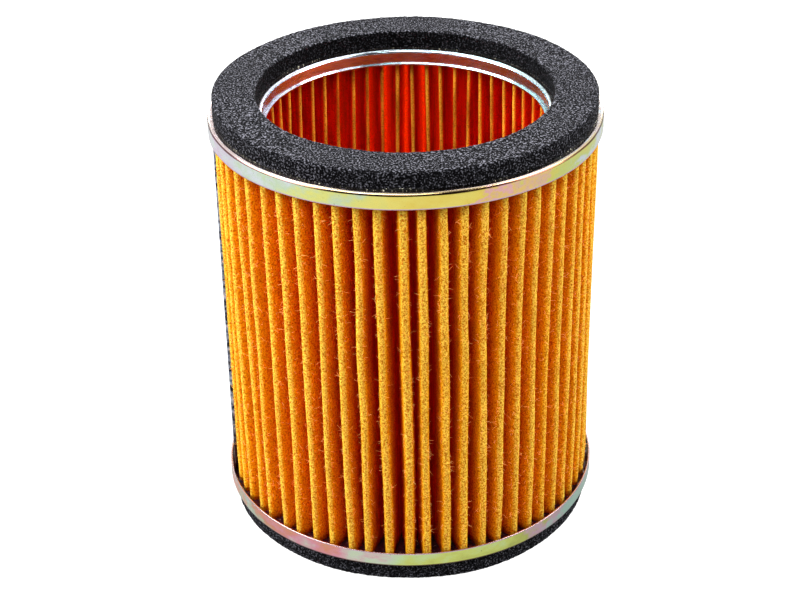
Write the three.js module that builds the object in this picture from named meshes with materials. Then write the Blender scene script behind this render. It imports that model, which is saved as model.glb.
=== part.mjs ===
// Cylindrical pleated-paper air filter element for a motorcycle airbox.
// A ring of folded paper stands between two pressed-steel end caps. Each cap is a channel, and
// the paper's ends are set in adhesive inside it. A foam gasket is glued to each cap's outer
// face, and a steel strip clips the two ends of the paper together. Air passes through the paper
// and leaves along the open bore. Nothing on the element moves.
//
// Millimetres, +Z up, origin at the centre of the lower sealing face. Built for three.js.

import * as THREE from "three";

// ---------------------------------------------------------------- driving dimensions

const OVERALL_HEIGHT = 122;
const CAP_OUTER_RADIUS = 52;
const BORE_RADIUS = 36.85; // clear radius inside the rolled-in lips of the caps

const GASKET_STACK = 5; // foam and its glue line together
const GLUE_LINE = 0.3;
const GASKET_OUTER_RADIUS = 50.5;
const GASKET_INNER_RADIUS = 39.7;
const GASKET_EDGE_ROUND = 1;

const STEEL = 0.5; // end cap sheet thickness
const CAP_BEND = 1.2; // outside radius of the two main bends
const OUTER_FLANGE_HEIGHT = 4.5;
const COLLAR_RADIUS = 37.5; // bore-side face of the inner flange
const LIP_DEPTH = 3.8; // from the plate's outer face to the lip
const LIP_BEND = 0.35; // inside radius where the inner flange turns into the lip

const POTTING_FLOOR = 1; // adhesive under the ends of the pleats
const POTTING_HEIGHT = 3; // adhesive beside the pleats, from the inside of the plate

const PLEAT_COUNT = 58;
const PLEAT_OUTER_RADIUS = 50.6;
const PLEAT_INNER_RADIUS = 39.2;
const PAPER = 0.7; // thickness of the filter paper
const OUTER_FOLD = 1; // radius of the paper's middle surface in the outer folds
const INNER_FOLD = 0.5; // the same in the inner folds

const SEAM_ANGLE = THREE.MathUtils.degToRad(186.3); // from +X, anticlockwise seen from above
const CLIP_STEEL = 0.4;
const CLIP_DEPTH = 3.8;
const CLEARANCE = 0.3; // between the clip and the paper

const RING_SEGMENTS = 60;
const BEND_SEGMENTS = 3;
const OUTER_FOLD_SEGMENTS = 4;
const INNER_FOLD_SEGMENTS = 2;

// ---------------------------------------------------------------- worked-out dimensions

const LOWER_PLATE = GASKET_STACK; // outer face of the lower cap's plate
const UPPER_PLATE = OVERALL_HEIGHT - GASKET_STACK;
const PAPER_BOTTOM = LOWER_PLATE + STEEL + POTTING_FLOOR;
const PAPER_HEIGHT = OVERALL_HEIGHT - 2 * PAPER_BOTTOM;
const HALF_PITCH = Math.PI / PLEAT_COUNT;
const OUTER_FOLD_CENTRE = PLEAT_OUTER_RADIUS - PAPER / 2 - OUTER_FOLD;
const INNER_FOLD_CENTRE = PLEAT_INNER_RADIUS + PAPER / 2 + INNER_FOLD;

const SEAM_OFFSET = (PAPER + CLEARANCE) / 2; // the paper's middle surface, from the seam's centre
const CLIP_OUTER_RADIUS = PLEAT_OUTER_RADIUS;
const CLIP_INNER_RADIUS = CLIP_OUTER_RADIUS - CLIP_DEPTH;
const SEAM_END_RADIUS = CLIP_OUTER_RADIUS - CLIP_STEEL - CLEARANCE;

// ---------------------------------------------------------------- materials

const foam = new THREE.MeshStandardMaterial({ color: 0x26262a, roughness: 0.95, metalness: 0 });
const glue = new THREE.MeshStandardMaterial({ color: 0x8f8a68, roughness: 0.6, metalness: 0 });
const zinc = new THREE.MeshStandardMaterial({ color: 0xd9cf8c, roughness: 0.3, metalness: 1 });
const potting = new THREE.MeshStandardMaterial({ color: 0x1c1012, roughness: 0.4, metalness: 0 });
const paper = new THREE.MeshStandardMaterial({ color: 0xe8930f, roughness: 0.9, metalness: 0 });
const clipSteel = new THREE.MeshStandardMaterial({ color: 0xb4b8bc, roughness: 0.35, metalness: 1 });

// ---------------------------------------------------------------- helpers

// Points of an arc about (x, y), from one angle to another in degrees, both ends included.
function arc(x, y, radius, from, to, segments) {
  const points = [];
  for (let i = 0; i <= segments; i++) {
    const angle = THREE.MathUtils.degToRad(from + ((to - from) * i) / segments);
    points.push(new THREE.Vector2(x + radius * Math.cos(angle), y + radius * Math.sin(angle)));
  }
  return points;
}

// A ring about Z from a section of (radius, height) points that run anticlockwise.
function ring(name, section, material) {
  const geometry = new THREE.LatheGeometry([...section, section[0]], RING_SEGMENTS);
  geometry.rotateX(Math.PI / 2);
  const mesh = new THREE.Mesh(geometry, material);
  mesh.name = name;
  return mesh;
}

// A section turned upside down about the element's middle, for the upper end.
function mirrored(section) {
  return section.map((p) => new THREE.Vector2(p.x, OVERALL_HEIGHT - p.y)).reverse();
}

// A prism as tall as the paper, from a closed outline.
function prism(name, outline, material) {
  const geometry = new THREE.ExtrudeGeometry(new THREE.Shape(outline), {
    depth: PAPER_HEIGHT,
    bevelEnabled: false,
  });
  const mesh = new THREE.Mesh(geometry, material);
  mesh.name = name;
  mesh.position.z = PAPER_BOTTOM;
  return mesh;
}

// A point given by a direction from the axis, a distance along it and a distance to its left.
function polar(angle, along, left) {
  return new THREE.Vector2(along, left).rotateAround(new THREE.Vector2(0, 0), angle);
}

// ---------------------------------------------------------------- sections of the lower end

// Foam ring: a rectangle with rounded corners on its free face.
function gasketSection() {
  const inner = GASKET_INNER_RADIUS;
  const outer = GASKET_OUTER_RADIUS;
  const round = GASKET_EDGE_ROUND;
  const top = GASKET_STACK - GLUE_LINE;
  return [
    ...arc(inner + round, round, round, 180, 270, BEND_SEGMENTS),
    ...arc(outer - round, round, round, 270, 360, BEND_SEGMENTS),
    new THREE.Vector2(outer, top),
    new THREE.Vector2(inner, top),
  ];
}

// Glue line: a thin ring that shows a little inside the gasket.
function glueSection() {
  const inner = GASKET_INNER_RADIUS - GLUE_LINE;
  const outer = GASKET_OUTER_RADIUS - GLUE_LINE;
  const bottom = GASKET_STACK - GLUE_LINE;
  return [
    new THREE.Vector2(inner, bottom),
    new THREE.Vector2(outer, bottom),
    new THREE.Vector2(outer, GASKET_STACK),
    new THREE.Vector2(inner, GASKET_STACK),
  ];
}

// End cap: plate, outer flange and inner collar, whose free edge is turned in to a lip.
function capSection() {
  const base = LOWER_PLATE;
  const skin = CAP_BEND; // bend radius on the outside of the sheet
  const inside = CAP_BEND - STEEL;
  const outerBend = CAP_OUTER_RADIUS - CAP_BEND;
  const collarBend = COLLAR_RADIUS + CAP_BEND;
  const lipBendRadius = COLLAR_RADIUS - LIP_BEND;
  const lipBendHeight = base + LIP_DEPTH - LIP_BEND;
  return [
    ...arc(outerBend, base + skin, skin, 270, 360, BEND_SEGMENTS),
    new THREE.Vector2(CAP_OUTER_RADIUS, base + OUTER_FLANGE_HEIGHT),
    new THREE.Vector2(CAP_OUTER_RADIUS - STEEL, base + OUTER_FLANGE_HEIGHT),
    ...arc(outerBend, base + skin, inside, 360, 270, BEND_SEGMENTS),
    ...arc(collarBend, base + skin, inside, 270, 180, BEND_SEGMENTS),
    ...arc(lipBendRadius, lipBendHeight, LIP_BEND + STEEL, 0, 90, BEND_SEGMENTS),
    new THREE.Vector2(BORE_RADIUS, base + LIP_DEPTH + STEEL),
    new THREE.Vector2(BORE_RADIUS, base + LIP_DEPTH),
    ...arc(lipBendRadius, lipBendHeight, LIP_BEND, 90, 0, BEND_SEGMENTS),
    ...arc(collarBend, base + skin, skin, 180, 270, BEND_SEGMENTS),
  ];
}

// Adhesive bed: a trough in the cap's channel that holds the ends of the pleats.
function pottingSection() {
  const inner = COLLAR_RADIUS + STEEL;
  const outer = CAP_OUTER_RADIUS - STEEL;
  const bend = CAP_BEND - STEEL;
  const bottom = LOWER_PLATE + STEEL;
  const top = bottom + POTTING_HEIGHT;
  return [
    new THREE.Vector2(inner + bend, bottom),
    new THREE.Vector2(outer - bend, bottom),
    new THREE.Vector2(outer, bottom + bend),
    new THREE.Vector2(outer, top),
    new THREE.Vector2(PLEAT_OUTER_RADIUS + CLEARANCE, top),
    new THREE.Vector2(PLEAT_OUTER_RADIUS + CLEARANCE, PAPER_BOTTOM),
    new THREE.Vector2(PLEAT_INNER_RADIUS - CLEARANCE, PAPER_BOTTOM),
    new THREE.Vector2(PLEAT_INNER_RADIUS - CLEARANCE, top),
    new THREE.Vector2(inner, top),
    new THREE.Vector2(inner, bottom + bend),
  ];
}

// ---------------------------------------------------------------- paper and its seam

// One face of the pleated strip, from the seam round to the seam again. side is 1 for the face
// that looks outwards and -1 for the face that looks into the bore.
function paperFace(side) {
  const half = (side * PAPER) / 2;
  const points = [
    polar(SEAM_ANGLE, SEAM_END_RADIUS, SEAM_OFFSET + half),
    polar(SEAM_ANGLE, CLIP_INNER_RADIUS - CLEARANCE, SEAM_OFFSET + half),
  ];
  for (let pleat = 0; pleat < PLEAT_COUNT; pleat++) {
    const valley = SEAM_ANGLE + (2 * pleat + 1) * HALF_PITCH;
    const crest = valley + HALF_PITCH;
    const innerArc = arc(INNER_FOLD_CENTRE, 0, INNER_FOLD - half, 270, 90, INNER_FOLD_SEGMENTS);
    points.push(...innerArc.map((p) => polar(valley, p.x, p.y)));
    if (pleat < PLEAT_COUNT - 1) {
      const outerArc = arc(OUTER_FOLD_CENTRE, 0, OUTER_FOLD + half, -90, 90, OUTER_FOLD_SEGMENTS);
      points.push(...outerArc.map((p) => polar(crest, p.x, p.y)));
    }
  }
  points.push(
    polar(SEAM_ANGLE, CLIP_INNER_RADIUS - CLEARANCE, -SEAM_OFFSET - half),
    polar(SEAM_ANGLE, SEAM_END_RADIUS, -SEAM_OFFSET - half),
  );
  return points;
}

function pleatedPaper() {
  const outline = [...paperFace(1), ...paperFace(-1).reverse()];
  return prism("pleated_paper", outline, paper);
}

// Steel strip folded over the paper's two ends.
function seamClip() {
  const insideHalf = SEAM_OFFSET + PAPER / 2 + CLEARANCE;
  const outsideHalf = insideHalf + CLIP_STEEL;
  const bridge = CLIP_OUTER_RADIUS - CLIP_STEEL;
  const outline = [
    [CLIP_INNER_RADIUS, -outsideHalf],
    [CLIP_OUTER_RADIUS, -outsideHalf],
    [CLIP_OUTER_RADIUS, outsideHalf],
    [CLIP_INNER_RADIUS, outsideHalf],
    [CLIP_INNER_RADIUS, insideHalf],
    [bridge, insideHalf],
    [bridge, -insideHalf],
    [CLIP_INNER_RADIUS, -insideHalf],
  ].map(([along, left]) => polar(SEAM_ANGLE, along, left));
  return prism("seam_clip", outline, clipSteel);
}

// ---------------------------------------------------------------- assembly

const filter = new THREE.Group();

const ends = [
  ["gasket", gasketSection(), foam],
  ["gasket_adhesive", glueSection(), glue],
  ["end_cap", capSection(), zinc],
  ["potting", pottingSection(), potting],
];
for (const [name, section, material] of ends) {
  filter.add(ring("bottom_" + name, section, material));
  filter.add(ring("top_" + name, mirrored(section), material));
}
filter.add(pleatedPaper(), seamClip());

export default filter;
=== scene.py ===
# Looks for a cylindrical pleated-paper air filter element.
# It builds the two end caps, their foam gaskets and glue lines, the adhesive beds, the folded paper
# with its loose fibres, and the clip along its seam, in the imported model's frame. Each piece but the
# loose fibres stands for one of the model's nodes. Lengths are in metres, and MM is a millimetre.

import math

import bpy
import numpy as np
from mathutils import Matrix, Vector, noise


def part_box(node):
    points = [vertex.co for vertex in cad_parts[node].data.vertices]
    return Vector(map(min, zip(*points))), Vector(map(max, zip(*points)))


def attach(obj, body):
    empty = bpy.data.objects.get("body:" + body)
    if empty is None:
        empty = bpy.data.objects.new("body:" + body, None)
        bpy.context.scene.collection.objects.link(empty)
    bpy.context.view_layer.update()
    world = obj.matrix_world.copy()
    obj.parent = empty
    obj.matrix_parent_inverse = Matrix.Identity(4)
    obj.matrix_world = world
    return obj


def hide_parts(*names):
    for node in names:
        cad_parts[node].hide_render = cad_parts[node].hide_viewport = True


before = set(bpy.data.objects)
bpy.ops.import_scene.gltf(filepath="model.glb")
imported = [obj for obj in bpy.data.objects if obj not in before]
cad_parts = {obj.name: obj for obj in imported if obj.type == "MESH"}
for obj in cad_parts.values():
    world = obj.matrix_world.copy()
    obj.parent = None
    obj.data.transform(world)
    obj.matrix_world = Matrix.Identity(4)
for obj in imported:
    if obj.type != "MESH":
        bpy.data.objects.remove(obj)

MM = 0.001
TURN = 2 * math.pi
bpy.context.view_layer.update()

# ---------------------------------------------------------------- dimensions

cap_low, cap_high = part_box("top_end_cap")
gasket_low, gasket_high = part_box("top_gasket")

HEIGHT = gasket_high.z
CAP_RADIUS = cap_high.x
PLATE = HEIGHT - cap_high.z  # outer face of the lower cap's plate
FLANGE = cap_high.z - cap_low.z
GASKET_RADIUS = gasket_high.x
GASKET_BACK = HEIGHT - gasket_low.z  # the lower gasket's glued face
PAPER_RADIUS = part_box("pleated_paper")[1].x

BORE_RADIUS = 36.85 * MM  # inside the collar's turned-in lip
COLLAR_RADIUS = 37.5 * MM  # the collar's inner face
GASKET_BORE = 39.1 * MM
PAPER_BORE = 39.2 * MM  # the inner folds' inner face
STEEL = 0.5 * MM
FLANGE_BEND = 1.0 * MM  # outer radius of the bend between plate and flange
COLLAR_BEND = 1.0 * MM
LIP_DEPTH = 3.8 * MM  # from the plate's outer face to the lip
LIP_BEND = 0.25 * MM
PAPER = 0.66 * MM
OUTER_FOLD = 0.8 * MM  # radius of the sheet's middle round an outer fold
INNER_FOLD = 0.22 * MM
PLEATS = 58
SEAM_ANGLE = math.radians(186.3)
BED_SURFACE = PLATE + STEEL + 1.6 * MM  # the lower adhesive bed's free face


def srgb(red, green, blue):
    """A colour as it looks on a screen, 0 to 255, as the linear colour that a shader takes."""

    def linear(level):
        share = level / 255
        if share < 0.04045:
            return share / 12.92
        return ((share + 0.055) / 1.055) ** 2.4

    return linear(red), linear(green), linear(blue)


# ---------------------------------------------------------------- mesh helpers


def mesh_object(name, points, faces, material):
    """A smooth shaded object from an array of points and a list of faces."""
    mesh = bpy.data.meshes.new(name)
    mesh.from_pydata(points.tolist(), [], faces)
    mesh.shade_smooth()
    mesh.materials.append(material)
    made = bpy.data.objects.new(name, mesh)
    bpy.context.scene.collection.objects.link(made)
    return made


def arc(centre, radius, start, end, steps):
    """Points of an arc in a section, as complex numbers of radius and height. Angles in degrees."""
    return centre + radius * np.exp(1j * np.radians(np.linspace(start, end, steps + 1)))


def spaced(points, step):
    """An open line with points added, so that none of its stretches is longer than step."""
    line = [points[:1]]
    for a, b in zip(points[:-1], points[1:]):
        count = max(1, math.ceil(abs(b - a) / step))
        line.append(a + (b - a) * np.arange(1, count + 1) / count)
    return np.concatenate(line)


def sides(line):
    """Unit normals to the right of an open line of complex points, along its first axis."""
    along = np.gradient(line, axis=0)
    return -1j * along / abs(along)


def thickened(line, thickness, end_steps=8):
    """The closed outline of sheet metal that follows a line, with rounded cut edges."""
    right = sides(line)
    half = thickness / 2
    angles = np.linspace(0, math.pi, end_steps + 1)[1:-1]
    turn = np.sign(np.cos(angles)) * abs(np.cos(angles)) ** 0.4 + 1j * np.sin(angles) ** 0.4
    far = line[-1] + half * right[-1] * turn
    near = line[0] - half * right[0] * turn
    return np.concatenate([line + half * right, far, (line - half * right)[::-1], near])


def upside_down(section):
    """A lower section as the upper end's, still running anticlockwise."""
    return (section.real + 1j * (HEIGHT - section.imag))[::-1]


def ring_points(radius, angle, height):
    """Points in space from radius and height, with one row for each angle round Z."""
    return np.stack([radius * np.cos(angle), radius * np.sin(angle), height * np.ones_like(angle)], -1)


def lathe(name, section, segments, material, shape):
    """A ring about Z from a closed section that runs anticlockwise.

    shape gives how far each point moves, as a complex radius and height, from its radius, angle,
    height and outward normal.
    """
    count = len(section)
    along = np.roll(section, -1) - np.roll(section, 1)
    outward = -1j * along / abs(along)
    angle = np.arange(segments)[:, None] * TURN / segments
    even = np.broadcast_to(section, (segments, count))
    profile = even + shape(even.real, angle, even.imag, outward)
    points = ring_points(profile.real, angle, profile.imag)
    index = np.arange(segments * count).reshape(segments, count)
    after = np.roll(index, -1, 0)
    faces = np.stack([index, after, np.roll(after, -1, 1), np.roll(index, -1, 1)], -1)
    return mesh_object(name, points.reshape(-1, 3), faces.reshape(-1, 4).tolist(), material)


def sheet_outline(line, thickness):
    """The closed outline of a standing sheet: one face along its middle line, and back on the other."""
    right = sides(line)
    return np.concatenate([line + thickness / 2 * right, (line - thickness / 2 * right)[::-1]])


def standing_sheet(name, outline, heights, material):
    """A sheet that stands on edge. outline holds complex x and y, one column for each height."""
    count, rows = outline.shape
    points = np.stack([outline.real, outline.imag, np.broadcast_to(heights, outline.shape)], -1)
    index = np.arange(count * rows).reshape(count, rows)
    after = np.roll(index, -1, 0)
    walls = np.stack([index[:, :-1], after[:, :-1], after[:, 1:], index[:, 1:]], -1).reshape(-1, 4)
    edge = np.arange(count // 2 - 1)
    first, second = index[edge], index[edge + 1]
    third, fourth = index[count - 2 - edge], index[count - 1 - edge]
    lower = np.stack([first[:, 0], fourth[:, 0], third[:, 0], second[:, 0]], -1)
    upper = np.stack([first[:, -1], second[:, -1], third[:, -1], fourth[:, -1]], -1)
    faces = np.concatenate([walls, lower, upper])
    return mesh_object(name, points.reshape(-1, 3), faces.tolist(), material)


def ripples(rng, amplitude, around, along, waves):
    """A smooth random function of angle and height, of about that amplitude.

    around is the most waves in a turn, and along the shortest wave's length in height.
    """
    turns = rng.integers(1, around + 1, waves)
    climbs = rng.uniform(-1, 1, waves) * TURN / along
    phases = rng.uniform(0, TURN, waves)
    scale = amplitude * math.sqrt(2 / waves)

    def value(angle, height):
        total = 0
        for turn, climb, phase in zip(turns, climbs, phases):
            total = total + np.cos(turn * angle + climb * height + phase)
        return scale * total

    return value


def grain(points, size, offset=0.0):
    """Perlin noise at each point, from -1 to 1, with bumps of about that size.

    Another offset gives another pattern.
    """
    scaled = points / size + offset
    return np.array([noise.noise(p) for p in scaled.tolist()])


# ---------------------------------------------------------------- material helpers


def new_material(name):
    """An empty material, and its node tree."""
    made = bpy.data.materials.new(name)
    made.use_nodes = True
    made.node_tree.nodes.clear()
    return made, made.node_tree


def node(tree, kind, inputs=None, **settings):
    """A node with its settings, and with its inputs linked or set."""
    made = tree.nodes.new(kind)
    for key, value in settings.items():
        setattr(made, key, value)
    for key, value in (inputs or {}).items():
        if isinstance(value, bpy.types.NodeSocket):
            tree.links.new(value, made.inputs[key])
        else:
            made.inputs[key].default_value = value
    return made


def output(tree, shader):
    """The material's surface."""
    node(tree, "ShaderNodeOutputMaterial", {"Surface": shader})


def principled(tree, colour, roughness, others):
    """A general surface shader. others are more of its inputs, by name."""
    inputs = {"Base Color": colour, "Roughness": roughness, **others}
    return node(tree, "ShaderNodeBsdfPrincipled", inputs).outputs[0]


def lit_through(tree, share, face, inputs):
    """A shader that's partly its face, and by that share a translucent one with these inputs."""
    through = node(tree, "ShaderNodeBsdfTranslucent", inputs).outputs[0]
    return node(tree, "ShaderNodeMixShader", {0: share, 1: face, 2: through}).outputs[0]


def place(tree, stretch=(1, 1, 1)):
    """Object coordinates, in metres, stretched along each axis."""
    where = node(tree, "ShaderNodeTexCoord").outputs["Object"]
    return node(tree, "ShaderNodeMapping", {"Vector": where, "Scale": stretch}).outputs["Vector"]


def speckle(tree, where, size, detail=2.0, roughness=0.5):
    """Noise from 0 to 1 with features of about that size in metres."""
    settings = {"Vector": where, "Scale": 1 / size, "Detail": detail, "Roughness": roughness}
    return node(tree, "ShaderNodeTexNoise", settings).outputs["Fac"]


def ramp(tree, factor, stops):
    """A colour or grey ramp of (position, colour) stops."""
    made = node(tree, "ShaderNodeValToRGB", {"Fac": factor})
    elements = made.color_ramp.elements
    while len(elements) < len(stops):
        elements.new(1)
    for element, (position, colour) in zip(elements, stops):
        element.position = position
        element.color = (*colour, 1) if isinstance(colour, tuple) else (colour, colour, colour, 1)
    return made.outputs["Color"]


def mixed(tree, factor, first, second, blend="MIX"):
    """Two colours mixed by a blend type."""
    made = node(tree, "ShaderNodeMix", data_type="RGBA", blend_type=blend)
    for socket, value in ((made.inputs[0], factor), (made.inputs[6], first), (made.inputs[7], second)):
        if isinstance(value, bpy.types.NodeSocket):
            tree.links.new(value, socket)
        else:
            socket.default_value = (*value, 1) if isinstance(value, tuple) else value
    return made.outputs[2]


def maths(tree, operation, first, second=0.0, third=0.0):
    """A value worked out from up to three others."""
    return node(tree, "ShaderNodeMath", {0: first, 1: second, 2: third}, operation=operation).outputs[0]


def levelness(tree):
    """1 where a surface lies level, facing up or down, and 0 where it stands upright."""
    normal = node(tree, "ShaderNodeTexCoord").outputs["Normal"]
    upward = node(tree, "ShaderNodeSeparateXYZ", {0: normal}).outputs["Z"]
    return maths(tree, "ABSOLUTE", upward)


def distance_from_axis(tree):
    """How far from the filter's axis, in metres."""
    flat = node(tree, "ShaderNodeVectorMath", {0: place(tree), 1: (1, 1, 0)}, operation="MULTIPLY")
    return node(tree, "ShaderNodeVectorMath", {0: flat.outputs[0]}, operation="LENGTH").outputs["Value"]


def beyond_radius(tree, radius):
    """How far outside that radius, in millimetres."""
    return maths(tree, "MULTIPLY_ADD", distance_from_axis(tree), 1 / MM, -radius / MM)


def reach_along(tree, vector, direction):
    """How far a vector reaches along a direction, times that direction's length."""
    inputs = {0: vector, 1: direction}
    return node(tree, "ShaderNodeVectorMath", inputs, operation="DOT_PRODUCT").outputs["Value"]


def height_from_middle(tree):
    """How far above or below the filter's middle, in metres."""
    height = node(tree, "ShaderNodeSeparateXYZ", {0: place(tree)}).outputs["Z"]
    return maths(tree, "ABSOLUTE", maths(tree, "SUBTRACT", height, HEIGHT / 2))


def bump(tree, height, distance):
    """The normal of a surface that rises by that distance as height goes from 0 to 1."""
    inputs = {"Height": height, "Distance": distance, "Strength": 1.0}
    return node(tree, "ShaderNodeBump", inputs).outputs["Normal"]


# ---------------------------------------------------------------- materials

# The film's interference colours, thinnest first.
FILM_TINTS = [
    (0.03, srgb(224, 204, 226)),
    (0.06, srgb(222, 230, 232)),
    (0.09, srgb(208, 228, 196)),
    (0.125, srgb(232, 234, 140)),
    (0.18, srgb(250, 236, 126)),
    (0.24, srgb(246, 222, 104)),
    (0.257, srgb(242, 184, 196)),
    (0.27, srgb(244, 210, 118)),
    (0.288, srgb(234, 192, 172)),
    (0.302, srgb(228, 220, 110)),
    (0.345, srgb(210, 222, 136)),
    (0.37, srgb(216, 226, 236)),
    (0.40, srgb(200, 216, 190)),
    (0.435, srgb(240, 164, 134)),
    (0.475, srgb(240, 172, 190)),
    (0.515, srgb(220, 230, 210)),
    (0.56, srgb(214, 242, 184)),
    (0.61, srgb(220, 232, 128)),
    (0.66, srgb(200, 208, 112)),
    (0.70, srgb(220, 184, 204)),
    (0.73, srgb(184, 224, 208)),
]
BORE_TINTS = [
    (0.1, srgb(238, 232, 246)),
    (0.35, srgb(206, 236, 236)),
    (0.55, srgb(244, 240, 220)),
    (0.75, srgb(240, 214, 222)),
    (0.95, srgb(226, 238, 240)),
]
# How the film's thickness changes along X, Y and Z, each metre, and what it is at the origin.
FILM_SLOPE = (3.1, 0.6, -3.6)
FILM_BASE = 0.471
FILM_PATCHES = 0.3  # how much thicker the film is in its thickest patches
PLATE_TINT = srgb(204, 180, 170)
SHEARED_TINT = srgb(222, 194, 208)
# The painted dark reflection in the outer bend between plate and flange.
PAINTED_REFLECTION_TINT = srgb(104, 52, 48)
SPECK_TINT = srgb(120, 95, 80)


def foam_material():
    """Charcoal sponge: dark cells with paler walls that catch the light, and painted shade that darkens
    its upright faces, most in its bore.
    """
    made, tree = new_material("foam")
    where = place(tree)
    cells = speckle(tree, where, 0.43 * MM, detail=0)
    walls = ramp(
        tree,
        cells,
        [
            (0.4, (0.001, 0.001, 0.0015)),
            (0.53, (0.009, 0.009, 0.011)),
            (0.62, (0.038, 0.038, 0.045)),
            (0.74, (0.145, 0.145, 0.17)),
        ],
    )
    # Painted shade: upright faces are darker than level ones, and darkest in the bore.
    level = ramp(tree, levelness(tree), [(0.45, 0.0), (0.75, 1.0)])
    out = maths(tree, "MULTIPLY", distance_from_axis(tree), 1 / PAPER_RADIUS)
    painted_shade_upright = ramp(tree, out, [(0.79, 0.2), (0.83, 0.56)])
    painted_shade = mixed(tree, level, painted_shade_upright, (1, 1, 1))
    colour = mixed(tree, 1.0, walls, painted_shade, "MULTIPLY")
    normal = bump(tree, cells, 0.3 * MM)
    output(tree, principled(tree, colour, 0.75, {"Specular IOR Level": 0.03, "Normal": normal}))
    return made


def glue_material():
    """Dusty contact adhesive squeezed out at a gasket's foot."""
    made, tree = new_material("glue")
    flecks = speckle(tree, place(tree), 0.5 * MM, detail=3)
    colour = ramp(
        tree,
        flecks,
        [
            (0.44, srgb(6, 6, 7)),
            (0.6, srgb(30, 29, 24)),
            (0.7, srgb(190, 188, 168)),
        ],
    )
    normal = bump(tree, flecks, 0.3 * MM)
    output(tree, principled(tree, colour, 0.6, {"Specular IOR Level": 0.1, "Normal": normal}))
    return made


def plated_material():
    """Zinc plate under a yellow passivate, whose film is thicker towards one side and the foot."""
    made, tree = new_material("plated_steel")
    where = place(tree)
    outside = outer_face(tree)
    level = levelness(tree)
    tints = mixed(tree, sheared_edge(tree), film_colour(tree, outside), SHEARED_TINT)
    tints = mixed(tree, flat_plate(tree, level), tints, PLATE_TINT)
    tints = mixed(tree, 1.0, tints, mixed(tree, outside, bore_streaks(tree), (1, 1, 1)), "MULTIPLY")
    # Painted reflection: a dark maroon line in the outer bend between plate and flange.
    painted_reflection_mask = ramp(tree, level, [(0.16, 0.0), (0.26, 0.9), (0.6, 0.9), (0.7, 0.0)])
    tints = mixed(tree, maths(tree, "MULTIPLY", painted_reflection_mask, outside), tints, PAINTED_REFLECTION_TINT)
    specks = speckle(tree, where, 0.7 * MM, detail=3)
    colour = mixed(tree, ramp(tree, specks, [(0.70, 0.0), (0.76, 0.8)]), tints, SPECK_TINT)
    haze = speckle(tree, where, 5 * MM, detail=3)
    roughness = ramp(tree, haze, [(0.3, 0.16), (0.8, 0.26)])
    normal = bump(tree, speckle(tree, where, 9 * MM, detail=0), 0.01 * MM)
    output(tree, principled(tree, colour, roughness, {"Metallic": 1.0, "Normal": normal}))
    return made


def outer_face(tree):
    """1 on a cap's outer flange, and 0 on its plate, bore collar and lip."""
    return ramp(tree, beyond_radius(tree, GASKET_RADIUS), [(0.8, 0.0), (1.0, 1.0)])


def flat_plate(tree, level):
    """0.8 on a cap's plate, where it lies level outside the bore collar, and 0 elsewhere."""
    plate = ramp(tree, beyond_radius(tree, COLLAR_RADIUS + STEEL), [(0.1, 0.0), (0.4, 1.0)])
    return maths(tree, "MULTIPLY", ramp(tree, level, [(0.5, 0.0), (0.8, 0.8)]), plate)


def bore_streaks(tree):
    """Grey and pale streaks that run round the bore."""
    streaks = speckle(tree, place(tree, (1, 1, 5)), 2.5 * MM, detail=4, roughness=0.7)
    return ramp(tree, streaks, [(0.36, (0.6, 0.62, 0.68)), (0.5, (1, 1, 1)), (0.62, (1.0, 1.25, 1.4))])


def film_colour(tree, outside):
    """The passivate's tint, in drifting patches: strong on the outer flange, pale on the rest."""
    patches = speckle(tree, place(tree, (1, 1, 1.6)), 15 * MM, detail=4, roughness=0.68)
    drift = maths(tree, "ADD", reach_along(tree, place(tree), FILM_SLOPE), FILM_BASE)
    film = maths(tree, "MULTIPLY_ADD", patches, FILM_PATCHES, drift)
    return mixed(tree, outside, ramp(tree, film, BORE_TINTS), ramp(tree, film, FILM_TINTS))


def sheared_edge(tree):
    """1 on what stands as far from the plate as the flange's sheared edge, and 0 nearer the plate."""
    edge = HEIGHT / 2 - PLATE - FLANGE
    beyond = maths(tree, "MULTIPLY", maths(tree, "SUBTRACT", height_from_middle(tree), edge), 1 / MM)
    return ramp(tree, beyond, [(0.25, 1.0), (0.45, 0.0)])


def potting_material():
    """Cast adhesive, maroon brown and wet-looking, with a few pale specks of dust."""
    made, tree = new_material("potting")
    flecks = speckle(tree, place(tree), 0.9 * MM, detail=3)
    colour = ramp(
        tree,
        flecks,
        [
            (0.4, srgb(38, 10, 18)),
            (0.62, srgb(62, 22, 30)),
            (0.74, srgb(150, 118, 112)),
        ],
    )
    normal = bump(tree, speckle(tree, place(tree), 2.5 * MM), 0.4 * MM)
    output(tree, principled(tree, colour, 0.28, {"Normal": normal}))
    return made


def paper_material():
    """Resin-treated filter paper: fibrous, orange and translucent, with painted shade that makes it
    redder where the folds are deep.
    """
    made, tree = new_material("filter_paper")
    reach = node(tree, "ShaderNodeAttribute", attribute_name="reach").outputs["Fac"]
    bore = node(tree, "ShaderNodeAttribute", attribute_name="bore").outputs["Fac"]
    ridge = node(tree, "ShaderNodeAttribute", attribute_name="ridge").outputs["Fac"]
    fibres = speckle(tree, place(tree), 0.45 * MM, detail=1)
    # Painted shade and highlight: yellow orange on the ridges, deep red in the folds.
    painted_fold_shade = mixed(tree, bore, outside_painted_shade(tree, reach, fibres), inside_painted_shade(tree, reach, fibres))
    shade = mixed(tree, 1.0, paper_grain(tree, fibres), fold_shadows_and_clouds(tree, reach), "MULTIPLY")
    texture = mixed(tree, 1.0, shade, paper_pits(tree, ridge), "MULTIPLY")
    colour = painted_cap_shade(tree, mixed(tree, 1.0, painted_fold_shade, texture, "MULTIPLY"))
    normal = bump(tree, fibres, 0.3 * MM)
    face = principled(tree, colour, 0.85, {"Specular IOR Level": 0.03, "Normal": normal})
    glow = mixed(tree, bore, (0.85, 0.15, 0.003), (1.0, 0.215, 0.003))
    output(tree, lit_through(tree, 0.5, face, {"Color": glow, "Normal": normal}))
    return made


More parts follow.
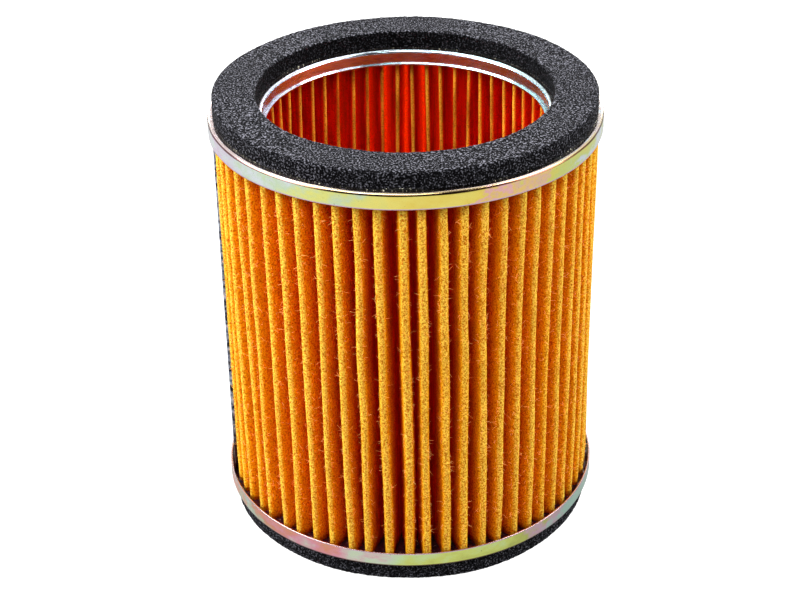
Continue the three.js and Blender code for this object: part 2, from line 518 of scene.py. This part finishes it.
def outside_painted_shade(tree, reach, fibres):
    """Painted shade on the outer face: its colour goes from deep red in the folds to yellow orange on the
    ridges.
    """
    depth = maths(tree, "ADD", reach, maths(tree, "MULTIPLY_ADD", fibres, 0.1, -0.05))
    return ramp(
        tree,
        depth,
        [
            (0.0, (0.8, 0.002, 0.0005)),
            (0.4, (0.83, 0.025, 0.0005)),
            (0.62, (0.88, 0.195, 0.001)),
            (0.82, (0.96, 0.41, 0.002)),
            (0.95, (1.0, 0.55, 0.006)),
            (1.0, (1.0, 0.82, 0.09)),
        ],
    )


def inside_painted_shade(tree, reach, fibres):
    """Painted light on the inner face: a painted highlight, yellow along the edges of the folds, and
    painted shade, red behind them.
    """
    depth = maths(tree, "ADD", reach, maths(tree, "MULTIPLY_ADD", fibres, 0.06, -0.03))
    return ramp(tree, depth, [(0.0, (1.0, 0.64, 0.05)), (0.05, (1.0, 0.008, 0.0005))])


def paper_grain(tree, fibres):
    """Pale fibres, and darker gaps between them."""
    return ramp(
        tree,
        fibres,
        [
            (0.34, (0.5, 0.36, 0.2)),
            (0.47, (0.95, 0.92, 0.88)),
            (0.62, (1.2, 1.25, 1.35)),
        ],
    )


def fold_shadows_and_clouds(tree, reach):
    """Painted shadows of the folds as upright streaks deep in them, and faint clouds all over."""
    streaks = speckle(tree, place(tree, (1, 1, 0.12)), 1.4 * MM, detail=2)
    # Painted shadows: the streaks darken the colour only deep in the folds.
    deep = ramp(tree, reach, [(0.3, 1.0), (0.8, 0.0)])
    painted_fold_shadows = mixed(tree, deep, (1, 1, 1), ramp(tree, streaks, [(0.35, 0.45), (0.65, 1.25)]))
    clouds = speckle(tree, place(tree), 5 * MM, detail=2)
    return mixed(tree, 1.0, painted_fold_shadows, ramp(tree, clouds, [(0.3, 0.9), (0.7, 1.05)]), "MULTIPLY")


def paper_pits(tree, ridge):
    """Small dark pits, which show most on the ridges."""
    pores = speckle(tree, place(tree), 0.4 * MM, detail=0)
    pits = ramp(
        tree,
        pores,
        [
            (0.34, (0.5, 0.38, 0.18)),
            (0.46, (0.92, 0.88, 0.8)),
            (0.66, (1.08, 1.06, 1.05)),
        ],
    )
    return mixed(tree, ramp(tree, ridge, [(0.7, 0.25), (0.97, 0.8)]), (1, 1, 1), pits)


CAP_SHADE_HEIGHT = 4 * MM  # near a bed, the painted shade goes from none to full in half of this


def painted_cap_shade(tree, colour):
    """The paper's colour, darkened with painted shade near the adhesive beds."""
    ragged = speckle(tree, place(tree, (1, 1, 0.3)), 1.2 * MM)
    ragged_reach = maths(tree, "MULTIPLY_ADD", ragged, 1.2 * MM, height_from_middle(tree))
    edge = HEIGHT / 2 - BED_SURFACE
    depth = maths(tree, "MULTIPLY_ADD", maths(tree, "SUBTRACT", ragged_reach, edge), 1 / CAP_SHADE_HEIGHT, 0.5)
    # Painted shade: dark near the beds, under the caps.
    return mixed(tree, ramp(tree, depth, [(0.2, 0.0), (0.7, 0.9)]), colour, (0.03, 0.004, 0.003))


def fibre_material():
    """Loose fibres, paler than the paper they stand out of.

    They glow a little, for the light that they catch and are too thin to show.
    """
    made, tree = new_material("fibres")
    tint = speckle(tree, place(tree), 3 * MM)
    colour = ramp(tree, tint, [(0.35, (1.0, 0.4, 0.08)), (0.6, (1.0, 0.65, 0.22))])
    glow = {"Emission Color": (1.0, 0.5, 0.15, 1), "Emission Strength": 0.8}
    face = principled(tree, colour, 0.6, {"Specular IOR Level": 0.0, **glow})
    output(tree, lit_through(tree, 0.4, face, {"Color": (1.0, 0.6, 0.2, 1)}))
    return made


DARKER_FOOT_HEIGHT = 40 * MM  # the clip is darker maroon over its lower part, up to about half of this


def clip_material():
    """Tinned steel strip, dulled, with dark spots, and darker maroon near its foot."""
    made, tree = new_material("clip_steel")
    where = place(tree)
    spots = speckle(tree, where, 1.4 * MM, detail=3)
    colour = ramp(
        tree,
        spots,
        [
            (0.4, srgb(36, 38, 52)),
            (0.5, srgb(130, 138, 156)),
            (0.7, srgb(200, 206, 216)),
        ],
    )
    height = node(tree, "ShaderNodeSeparateXYZ", {0: where}).outputs["Z"]
    darker_foot = ramp(tree, maths(tree, "MULTIPLY", height, 1 / DARKER_FOOT_HEIGHT), [(0.4, 1.0), (0.65, 0.0)])
    colour = mixed(tree, darker_foot, colour, srgb(58, 30, 30))
    roughness = ramp(tree, spots, [(0.3, 0.5), (0.7, 0.28)])
    output(tree, principled(tree, colour, roughness, {"Metallic": 1.0}))
    return made


FOAM = foam_material()
GLUE = glue_material()
PLATED = plated_material()
RESIN = potting_material()
PAPER_STOCK = paper_material()
FUZZ = fibre_material()
TINNED = clip_material()

# ---------------------------------------------------------------- end caps


def cap_section():
    """The lower cap's section: a sheet that runs from the outer flange's edge to the lip's edge."""
    half = STEEL / 2
    lip_centre = COLLAR_RADIUS - LIP_BEND + 1j * (PLATE + LIP_DEPTH - LIP_BEND)
    flange_centre = CAP_RADIUS - FLANGE_BEND + 1j * (PLATE + FLANGE_BEND)
    collar_centre = COLLAR_RADIUS + COLLAR_BEND + 1j * (PLATE + COLLAR_BEND)
    line = np.concatenate(
        [
            [CAP_RADIUS - half + 1j * (PLATE + FLANGE - half)],
            arc(flange_centre, FLANGE_BEND - half, 0, -90, 8),
            arc(collar_centre, COLLAR_BEND - half, 270, 180, 10),
            arc(lip_centre, LIP_BEND + half, 0, 90, 6),
            [BORE_RADIUS + half + 1j * (PLATE + LIP_DEPTH + half)],
        ]
    )
    return thickened(spaced(line, 0.4 * MM)[::-1], STEEL)


def end_cap(name, section, seed):
    """A pressed cap, very slightly uneven all over."""
    press_marks = ripples(np.random.default_rng(seed), 0.03 * MM, around=22, along=8 * MM, waves=10)

    def worn(radius, angle, height, outward):
        return outward * press_marks(angle, height + radius)

    return lathe(name, section, segments=288, material=PLATED, shape=worn)


# ---------------------------------------------------------------- gaskets and their glue


def gasket_section():
    """The lower gasket's section, fine where it shows and coarse where it is glued."""
    rounding = 0.6 * MM
    inner = GASKET_BORE + rounding + 1j * rounding
    outer = GASKET_RADIUS - rounding + 1j * rounding
    shown = np.concatenate(
        [
            [GASKET_BORE + 1j * GASKET_BACK],
            arc(inner, rounding, 180, 270, 6),
            arc(outer, rounding, 270, 360, 6),
            [GASKET_RADIUS + 1j * GASKET_BACK],
        ]
    )
    back = np.linspace(GASKET_RADIUS, GASKET_BORE, 9)[1:-1] + 1j * GASKET_BACK
    return np.concatenate([spaced(shown, 0.3 * MM), back])


def gasket(name, section, seed):
    """Foam with open cells on its faces and slightly uneven edges."""
    sag = ripples(np.random.default_rng(seed), 0.07 * MM, around=9, along=20 * MM, waves=6)

    def cells(radius, angle, height, outward):
        points = ring_points(radius, angle, height).reshape(-1, 3)
        pores = grain(points, 0.6 * MM) * 0.13 * MM + grain(points, 1.6 * MM, offset=31.7) * 0.05 * MM
        return outward * (pores.reshape(radius.shape) + sag(angle, height))

    made = lathe(name, section, segments=800, material=FOAM, shape=cells)
    return made


def glue_section():
    """The glue that shows at the gasket's two edges, joined behind it.

    It is fine for a short way in from each edge, and one flat stretch between.
    """
    low, high = GASKET_BACK - 0.3 * MM, PLATE + 0.02 * MM
    inner, outer = GASKET_BORE + 0.12 * MM, GASKET_RADIUS - 0.05 * MM
    way_in, slant, step = 0.7 * MM, 0.1 * MM, 0.13 * MM
    inner_edge = np.array(
        [
            inner + way_in + 1j * high,
            inner + 1j * high,
            inner + slant + 1j * low,
            inner + way_in + 1j * low,
        ]
    )
    outer_edge = np.array(
        [
            outer - way_in + 1j * low,
            outer - slant + 1j * low,
            outer + 1j * high,
            outer - way_in + 1j * high,
        ]
    )
    return np.concatenate([spaced(inner_edge, step), spaced(outer_edge, step)])


def glue_line(name, section, seed):
    """A lumpy line of glue, squeezed out further in some places than in others."""
    flow = ripples(np.random.default_rng(seed), 0.12 * MM, around=14, along=3 * MM, waves=12)

    def lumps(radius, angle, height, outward):
        points = ring_points(radius, angle, height).reshape(-1, 3)
        lumpy = grain(points, 0.7 * MM).reshape(radius.shape)
        return outward * (flow(angle, height) + lumpy * 0.14 * MM)

    return lathe(name, section, segments=1300, material=GLUE, shape=lumps)


# ---------------------------------------------------------------- folded paper

rng_paper = np.random.default_rng(23)
ROWS = 32  # stretches of the sheet from foot to top
PAPER_FOOT = PLATE + STEEL + 0.3 * MM
heights = np.linspace(PAPER_FOOT, HEIGHT - PAPER_FOOT, ROWS + 1)
share = np.linspace(0, 1, ROWS + 1)  # 0 at the foot and 1 at the top


def wander(amplitude, slowest, waves):
    """For each fold, a smooth random drift from foot to top, of about that amplitude.

    Its slowest wave has about that many turns from foot to top.
    """
    number = 1 + np.arange(waves)[None, :, None]
    phases = rng_paper.uniform(0, TURN, (PLEATS, waves, 1))
    rates = slowest * number * rng_paper.uniform(0.8, 1.2, (PLEATS, waves, 1))
    weights = rng_paper.normal(0, 1, (PLEATS, waves, 1)) / number
    return amplitude * (weights * np.cos(TURN * rates * share + phases)).sum(1)


def kinks(amount, chance, width):
    """Dents where a fold was pressed: few folds have one, each at its own height."""
    depth = amount * rng_paper.normal(0, 1, (PLEATS, 1)) * (rng_paper.random((PLEATS, 1)) < chance)
    centre = rng_paper.uniform(0.1, 0.9, (PLEATS, 1))
    return depth * np.exp(-(((share - centre) / width) ** 2))


FOOT_LEAN = math.radians(2.4)  # how far the folds are drawn towards the front at their foot
FOOT_TWIST = math.radians(0.7)  # how far they all turn round the filter there
BUNCHING = math.radians(0.4)  # how far the folds are drawn towards the front all the way up
UNEVENNESS = math.radians(0.9)  # of the spacing, twice round the filter
BACK_TWIST = math.radians(4.8)  # how far the folds at the back are pushed round
RIGHT_SHORTFALL = math.radians(4.5)  # and how much less on their right
FOLD_SCATTER = math.radians(0.35)  # how far single folds are from their even places
CREST_WANDER = math.radians(0.22)  # how far an outer fold drifts aside on its way up
VALLEY_WANDER = math.radians(0.15)  # and an inner fold, from midway between its neighbours
KINK = math.radians(0.35)  # how far a dent pushes a fold aside
DRIFT = 0.12 * MM  # how far folds wander in and out
FLARE = 0.25 * MM  # how much further out the folds are at the top
even = SEAM_ANGLE + TURN * np.arange(PLEATS)[:, None] / PLEATS
from_front = even + TURN / 4
at_back = (1 - np.cos(from_front)) / 2  # 0 at the front and 1 at the back
crest_angle = (
    even
    + rng_paper.normal(0, FOLD_SCATTER, (PLEATS, 1))
    + wander(CREST_WANDER, slowest=0.7, waves=4)
    + kinks(KINK, chance=0.3, width=0.07)
    + (FOOT_TWIST - FOOT_LEAN * np.sin(from_front)) * (1 - share)
    - BUNCHING * np.sin(from_front)
    + UNEVENNESS * np.cos(2 * from_front)
    - BACK_TWIST * at_back**3
    + RIGHT_SHORTFALL * np.maximum(0, np.sin(from_front)) * at_back**2
)
between_crests = (crest_angle + np.roll(crest_angle, -1, 0)) / 2
between_crests[-1] += math.pi  # the last and the first are a turn apart, so their mean is half a turn out
valley_angle = between_crests + wander(VALLEY_WANDER, slowest=0.6, waves=3)
crest_radius = PAPER_RADIUS + FLARE * share - 0.1 * MM + wander(DRIFT, slowest=0.8, waves=4)
valley_radius = PAPER_BORE + wander(DRIFT, slowest=0.7, waves=3)
crest_fold = OUTER_FOLD * (1 + rng_paper.normal(0, 0.05, (PLEATS, 1)))
crest_fold = crest_fold + wander(0.05 * MM, slowest=1.5, waves=3)
flank_bow = wander(DRIFT, slowest=0.6, waves=3)

OUTER_ARC = 85  # degrees that an outer fold bends each way from its ridge
OUTER_STEPS = 10
INNER_ARC = 82
INNER_STEPS = 6
SEAM_INSET = 0.7 * MM  # from the outer folds in to the sheet's two ends
SEAM_GAP = 1.0 * MM


def fold(angle, radius, fold_radius, start, end, steps):
    """The paper's middle line round one fold, one row for each step and one column for each height."""
    centre = np.exp(1j * angle) * radius
    turn = np.radians(np.linspace(start, end, steps + 1))[:, None]
    return centre + fold_radius * np.exp(1j * (angle + turn))


def inner_fold(pleat):
    """The fold that follows an outer fold of the same number."""
    middle = valley_radius[pleat] + PAPER / 2 + INNER_FOLD
    return fold(valley_angle[pleat], middle, INNER_FOLD, 180 + INNER_ARC, 180 - INNER_ARC, INNER_STEPS)


def outer_fold(pleat):
    """The fold at an outer ridge."""
    middle = crest_radius[pleat] - PAPER / 2 - crest_fold[pleat]
    return fold(crest_angle[pleat], middle, crest_fold[pleat], -OUTER_ARC, OUTER_ARC, OUTER_STEPS)


def flank(start, end, bow):
    """Points between two folds, on a slightly bowed line."""
    across = np.linspace(0, 1, 6)[1:-1, None]
    sideways = 1j * (end - start) / abs(end - start)
    return start + (end - start) * across + sideways * bow * np.sin(math.pi * across)


def pleat_line():
    """The paper's middle line from seam to seam, and its ridge values.

    Those are 1 on the ridge of an outer fold, and 0 on the flanks and the inner folds. The line
    starts and ends at fold 0, where the sheet's two ends meet.
    """
    seam = np.exp(1j * crest_angle[0])
    start = seam * (PAPER_RADIUS - SEAM_INSET + 0.5j * SEAM_GAP)
    end = seam * (PAPER_RADIUS - SEAM_INSET - 0.5j * SEAM_GAP)
    stretches, ridges = [start[None]], [np.zeros(1)]
    ridge_shape = np.cos(np.radians(np.linspace(-OUTER_ARC, OUTER_ARC, OUTER_STEPS + 1)))

    def join(stretch, ridge, bow):
        between = flank(stretches[-1][-1], stretch[0], bow)
        stretches.extend([between, stretch])
        ridges.extend([np.zeros(len(between)), ridge * np.ones(len(stretch))])

    for pleat in range(PLEATS):
        join(inner_fold(pleat), 0, flank_bow[pleat])
        if pleat < PLEATS - 1:
            join(outer_fold(pleat + 1), ridge_shape, flank_bow[pleat])
    join(end[None], 0, flank_bow[-1])
    return np.concatenate(stretches), np.concatenate(ridges)


def mark_points(made, key, values):
    """Puts a named number on each of a mesh's points, for its material to read."""
    numbers = made.data.attributes.new(key, "FLOAT", "POINT").data
    numbers.foreach_set("value", values.astype(np.float32).reshape(-1))


def pleated_paper():
    """The folded sheet.

    On its points, reach runs from 0 at the inner folds to 1 at the outer ones, ridge is 1 on the
    outer ridges, and bore is 1 on the sheet's inner face.
    """
    line, ridge = pleat_line()
    outline = sheet_outline(line, PAPER)
    made = standing_sheet("folded_paper", outline, heights, PAPER_STOCK)
    each = np.ones(outline.shape)
    reach = (abs(outline) - PAPER_BORE) / (PAPER_RADIUS - PAPER_BORE)
    inner_face = np.arange(len(outline)) >= len(line)
    mark_points(made, "reach", reach.clip(0, 1))
    mark_points(made, "ridge", np.concatenate([ridge, ridge[::-1]])[:, None] * each)
    mark_points(made, "bore", inner_face[:, None] * each)
    return made


# ---------------------------------------------------------------- loose fibres


FIBRES = 9900
FIBRE_LENGTH = 0.75 * MM
FIBRE_THICKNESS = 0.07 * MM
FIBRE_STEPS = 3
FIBRE_CORNERS = 3
FIBRE_SPREAD = math.radians(100)  # how far round an outer fold from its ridge fibres can stand
FIBRE_SINK = 0.05 * MM  # how deep in the paper each one starts


def fibre_roots(rng):
    """Where each fibre leaves its fold, and the directions outward and sideways there."""
    pleat = rng.integers(1, PLEATS, FIBRES)
    row = rng.uniform(0.06, 0.94, FIBRES) * ROWS
    low = row.astype(int)
    part = row - low

    def between(table):
        return table[pleat, low] * (1 - part) + table[pleat, low + 1] * part

    angle, radius, fold_radius = between(crest_angle), between(crest_radius), between(crest_fold)
    height = np.interp(row, np.arange(ROWS + 1), heights)
    lean = rng.choice([-1, 1], FIBRES) * rng.uniform(0, 1, FIBRES) ** 0.6 * FIBRE_SPREAD
    centre = np.exp(1j * angle) * (radius - PAPER / 2 - fold_radius)
    out = np.exp(1j * (angle + lean))
    root = centre + (fold_radius + PAPER / 2 - FIBRE_SINK) * out
    side = 1j * out
    level = np.zeros(FIBRES)
    return (
        np.stack([root.real, root.imag, height], -1),
        np.stack([out.real, out.imag, level], -1),
        np.stack([side.real, side.imag, level], -1),
    )


def unit(vectors):
    """Each vector at a length of 1."""
    return vectors / np.linalg.norm(vectors, axis=1, keepdims=True)


def fibre_directions(rng, outward, sideways):
    """The way that each fibre sets out, and the way that it curls, square to the first."""
    upward = np.array([0.0, 0.0, 1.0])
    stand = rng.uniform(0.3, 1.0, (FIBRES, 1))
    stray = rng.normal(0, 0.7, (FIBRES, 1))
    droop = rng.normal(0, 0.8, (FIBRES, 1))
    ahead = unit(outward * stand + sideways * stray + upward * droop)
    curl = rng.normal(0, 1, (FIBRES, 3))
    return ahead, unit(curl - ahead * (curl * ahead).sum(1, keepdims=True))


def hair_faces(count):
    """The walls and ends of that many tapering tubes."""
    base = np.arange(count)[:, None] * (FIBRE_STEPS + 1) * FIBRE_CORNERS
    walls = []
    for step in range(FIBRE_STEPS):
        for corner in range(FIBRE_CORNERS):
            a = base + step * FIBRE_CORNERS + corner
            b = base + step * FIBRE_CORNERS + (corner + 1) % FIBRE_CORNERS
            walls.append(np.concatenate([a, b, b + FIBRE_CORNERS, a + FIBRE_CORNERS], 1))
    around = np.arange(FIBRE_CORNERS)
    ends = [base + around[::-1], base + FIBRE_STEPS * FIBRE_CORNERS + around]
    return np.concatenate(walls).tolist() + np.concatenate(ends).tolist()


def loose_fibres(name, seed):
    """Curved hairs that stand out of the outer folds, each way round from the folds' ridges."""
    rng = np.random.default_rng(seed)
    start, outward, sideways = fibre_roots(rng)
    ahead, curl = fibre_directions(rng, outward, sideways)
    reach = FIBRE_LENGTH * rng.lognormal(0, 0.45, (FIBRES, 1)).clip(0.4, 2.2)
    bend = 0.6 * rng.uniform(0.2, 1.1, (FIBRES, 1))
    across = np.cross(ahead, curl)
    rings = []
    for part in np.linspace(0, 1, FIBRE_STEPS + 1):
        spine = start + ahead * reach * part + curl * reach * bend * part**2
        radius = FIBRE_THICKNESS / 2 * (1 - 0.5 * part)
        for turn in np.arange(FIBRE_CORNERS) * TURN / FIBRE_CORNERS:
            rings.append(spine + (curl * math.cos(turn) + across * math.sin(turn)) * radius)
    points = np.stack(rings, 1).reshape(-1, 3)
    return mesh_object(name, points, hair_faces(FIBRES), FUZZ)


# ---------------------------------------------------------------- adhesive beds


BED_GAP = 0.03 * MM  # between a bed and the cap's upright walls
BED_FLOOR_GAP = 0.02 * MM
FOLD_CREEP = 0.4 * MM  # how far the adhesive creeps up the outer folds
WALL_CREEP = 0.8 * MM  # and up the flange


def bed_section():
    """The lower bed, with a finely divided face that can creep up the folds and the flange."""
    inner, outer = COLLAR_RADIUS + STEEL + BED_GAP, CAP_RADIUS - STEEL - BED_GAP
    low = PLATE + STEEL + BED_FLOOR_GAP
    bend = COLLAR_BEND - STEEL
    face = np.linspace(outer, inner, 48) + 1j * BED_SURFACE
    below = [inner + bend + 1j * low, outer - bend + 1j * low, outer + 1j * (low + bend)]
    last = [inner + 1j * (low + bend)]
    return np.concatenate([below, face, last])


def adhesive_bed(name, section, row, seed):
    """A bed of cast adhesive round the folds' ends. row is 0 for the lower bed and ROWS for the upper."""
    swell = ripples(np.random.default_rng(seed), 0.1 * MM, around=40, along=20 * MM, waves=14)
    up = 1 if row == 0 else -1
    surface = BED_SURFACE if row == 0 else HEIGHT - BED_SURFACE
    centres = np.exp(1j * crest_angle[:, row]) * (crest_radius[:, row] - PAPER / 2 - crest_fold[:, row])

    def creep(radius, angle, height, outward):
        spot = radius * np.exp(1j * angle)
        nearest = np.min([abs(abs(spot - c) - OUTER_FOLD - PAPER / 2) for c in centres], 0)
        wall = (CAP_RADIUS - STEEL - radius).clip(0)
        rise = FOLD_CREEP * np.exp(-nearest / (0.35 * MM)) + WALL_CREEP * np.exp(-wall / (0.3 * MM))
        on_face = abs(height - surface) < 0.01 * MM
        return np.where(on_face, 1j * up * (rise + swell(angle, radius)), 0)

    return lathe(name, section, segments=600, material=RESIN, shape=creep)


# ---------------------------------------------------------------- seam clip


CLIP_STEEL = 0.4 * MM
CLIP_ROWS = 72
CLIP_DEPTH = 3.6 * MM
CLIP_HALF_WIDTH = 1.0 * MM  # to the middle of each leg's steel
CLIP_CORNER = 0.35 * MM
CLIP_PROUD = 0.35 * MM  # how far the clip's back stands out of the folds
CLIP_FOOT = PLATE + STEEL + 1.5 * MM
CRIMP_DEPTH = 0.14 * MM
CRIMP_SPACING = 9 * MM


def clip_line():
    """The middle of the clip's steel, a U that opens towards the filter's axis."""
    back = PAPER_RADIUS + CLIP_PROUD - CLIP_STEEL / 2
    tip = back - CLIP_DEPTH
    bend = back - CLIP_CORNER
    across = 1j * (CLIP_HALF_WIDTH - CLIP_CORNER)
    line = np.concatenate(
        [
            [tip - 1j * CLIP_HALF_WIDTH],
            arc(bend - across, CLIP_CORNER, -90, 0, 4),
            arc(bend + across, CLIP_CORNER, 0, 90, 4),
            [tip + 1j * CLIP_HALF_WIDTH],
        ]
    )
    return spaced(line, 0.5 * MM), bend


def seam_clip():
    """A steel strip folded over the paper's two ends and crimped at intervals."""
    line, bend = clip_line()
    levels = np.linspace(CLIP_FOOT, HEIGHT - CLIP_FOOT, CLIP_ROWS + 1)
    crimp = np.maximum(0, np.cos(TURN * (levels - CLIP_FOOT) / CRIMP_SPACING)) ** 6
    on_legs = line.real[:, None] < bend
    inwards = np.where(on_legs, -np.sign(line.imag)[:, None] * CRIMP_DEPTH * crimp, 0)
    angle = np.interp(levels, heights, crest_angle[0])
    placed = (line[:, None] + 1j * inwards) * np.exp(1j * angle)
    return standing_sheet("seam_strip", sheet_outline(placed, CLIP_STEEL), levels, TINNED)


# ---------------------------------------------------------------- assembly


def part_of(made, slot, *nodes):
    """The piece rides on the filter and stands for its nodes, which are hidden; slot is not used."""
    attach(made, "root")
    if nodes:
        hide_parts(*nodes)


lower_cap, lower_gasket = cap_section(), gasket_section()
lower_glue, lower_bed = glue_section(), bed_section()
upper_cap, upper_gasket = upside_down(lower_cap), upside_down(lower_gasket)
upper_glue, upper_bed = upside_down(lower_glue), upside_down(lower_bed)
part_of(end_cap("bottom_cap_shell", lower_cap, 3), "plated_steel", "bottom_end_cap")
part_of(end_cap("top_cap_shell", upper_cap, 4), "plated_steel", "top_end_cap")
part_of(gasket("bottom_foam_ring", lower_gasket, 5), "gasket_foam", "bottom_gasket")
part_of(gasket("top_foam_ring", upper_gasket, 6), "gasket_foam", "top_gasket")
part_of(glue_line("bottom_glue_line", lower_glue, 7), "gasket_glue", "bottom_gasket_adhesive")
part_of(glue_line("top_glue_line", upper_glue, 8), "gasket_glue", "top_gasket_adhesive")
part_of(adhesive_bed("bottom_adhesive_bed", lower_bed, 0, 9), "potting_resin", "bottom_potting")
part_of(adhesive_bed("top_adhesive_bed", upper_bed, ROWS, 10), "potting_resin", "top_potting")
part_of(pleated_paper(), "filter_paper", "pleated_paper")
part_of(loose_fibres("loose_fibres", 11), "filter_paper")
part_of(seam_clip(), "clip_steel", "seam_clip")

# ---------------------------------------------------------------- camera

LENS, SENSOR = 85.45, 36.0  # both in millimetres, as the camera takes them
CAMERA_DISTANCE = 528 * MM
CAMERA_TARGET = Vector((-2.24 * MM, 0, 57.95 * MM))
CAMERA_ELEVATION = math.radians(29.88)
CAMERA_ROLL = math.radians(-0.96)

# The camera's own directions, before and after its roll.
backward = Vector((0, -math.cos(CAMERA_ELEVATION), math.sin(CAMERA_ELEVATION)))
upright = Vector((0, math.sin(CAMERA_ELEVATION), math.cos(CAMERA_ELEVATION)))
level_right = Vector((1, 0, 0))
right = level_right * math.cos(CAMERA_ROLL) + upright * math.sin(CAMERA_ROLL)
above = upright * math.cos(CAMERA_ROLL) - level_right * math.sin(CAMERA_ROLL)
camera_data = bpy.data.cameras.new("camera")
camera_data.lens = LENS
camera_data.sensor_width = SENSOR
camera = bpy.data.objects.new("camera", camera_data)
bpy.context.scene.collection.objects.link(camera)
camera.matrix_world = (
    Matrix.Translation(CAMERA_TARGET + backward * CAMERA_DISTANCE)
    @ Matrix((right, above, backward)).transposed().to_4x4()
)
bpy.context.scene.camera = camera

# ---------------------------------------------------------------- studio


LIGHTS_AIM = Vector((0, 0, 60 * MM))
FLOOR_RADIUS = 8.0
FLOOR_CORNERS = 64
FLOOR_DROP = 0.3 * MM  # clear of the gasket that stands on it


def softbox(name, azimuth, elevation, distance, size, brightness):
    """An area light that faces the filter. Azimuth 0 is the front, and 90 the right.

    brightness is the light that its face gives off, beside 1 for a white wall.
    """
    data = bpy.data.lights.new(name, "AREA")
    data.shape = "RECTANGLE"
    data.size, data.size_y = size
    data.energy = brightness * math.pi * size[0] * size[1]
    made = bpy.data.objects.new(name, data)
    a, e = math.radians(azimuth), math.radians(elevation)
    towards = Vector((math.sin(a) * math.cos(e), -math.cos(a) * math.cos(e), math.sin(e)))
    made.location = LIGHTS_AIM + towards * distance
    made.rotation_mode = "QUATERNION"
    made.rotation_quaternion = towards.to_track_quat("Z", "Y")
    made.visible_camera = False
    bpy.context.scene.collection.objects.link(made)


softbox("left_box", azimuth=-78, elevation=36, distance=1.0, size=(0.8, 0.9), brightness=11.4)
softbox("right_box", azimuth=80, elevation=30, distance=1.0, size=(0.6, 0.9), brightness=8.4)
softbox("front_box", azimuth=-14, elevation=55, distance=1.0, size=(0.6, 0.4), brightness=6.9)
softbox("top_box", azimuth=180, elevation=66, distance=1.0, size=(0.9, 0.6), brightness=2.4)
softbox("back_box", azimuth=180, elevation=8, distance=0.9, size=(1.1, 0.3), brightness=9.5)


def seen_or_lit(tree, seen, lit):
    """A colour that is one thing to the camera and another to everything that it lights."""
    camera_ray = node(tree, "ShaderNodeLightPath").outputs["Is Camera Ray"]
    return mixed(tree, camera_ray, lit, seen)


def white_floor():
    """A white floor that also glows, so that the filter's shadow on it burns out."""
    white, tree = new_material("floor_white")
    matte = node(tree, "ShaderNodeBsdfDiffuse", {"Color": (0.2, 0.2, 0.2, 1)})
    strength = seen_or_lit(tree, (1.0, 1.0, 1.0), (0.16, 0.16, 0.16))
    glow = node(tree, "ShaderNodeEmission", {"Color": strength, "Strength": 1.0})
    both = node(tree, "ShaderNodeAddShader", {0: matte.outputs[0], 1: glow.outputs[0]})
    output(tree, both.outputs[0])
    rim = ring_points(FLOOR_RADIUS, np.arange(FLOOR_CORNERS) * TURN / FLOOR_CORNERS, -FLOOR_DROP)
    mesh_object("floor", rim, [list(range(FLOOR_CORNERS))], white)


def studio_world():
    """A white backdrop behind, a dimmer room in front, and the dark of the camera and its stand."""
    world = bpy.data.worlds.new("studio")
    bpy.context.scene.world = world
    world.use_nodes = True
    tree = world.node_tree
    tree.nodes.clear()
    direction = node(tree, "ShaderNodeTexCoord").outputs["Generated"]
    depth = node(tree, "ShaderNodeSeparateXYZ", {0: direction}).outputs["Y"]
    room = ramp(tree, maths(tree, "MULTIPLY_ADD", depth, 0.5, 0.5), [(0.35, 0.35), (0.65, 1.1)])
    towards_camera = reach_along(tree, direction, tuple(backward))
    shade = ramp(tree, towards_camera, [(0.64, 1.0), (0.86, 0.04)])
    colour = seen_or_lit(tree, (1.0, 1.0, 1.0), mixed(tree, 1.0, room, shade, "MULTIPLY"))
    background = node(tree, "ShaderNodeBackground", {"Color": colour, "Strength": 1.0})
    node(tree, "ShaderNodeOutputWorld", {"Surface": background.outputs[0]})


white_floor()
studio_world()
bpy.context.scene.view_settings.view_transform = "Standard"
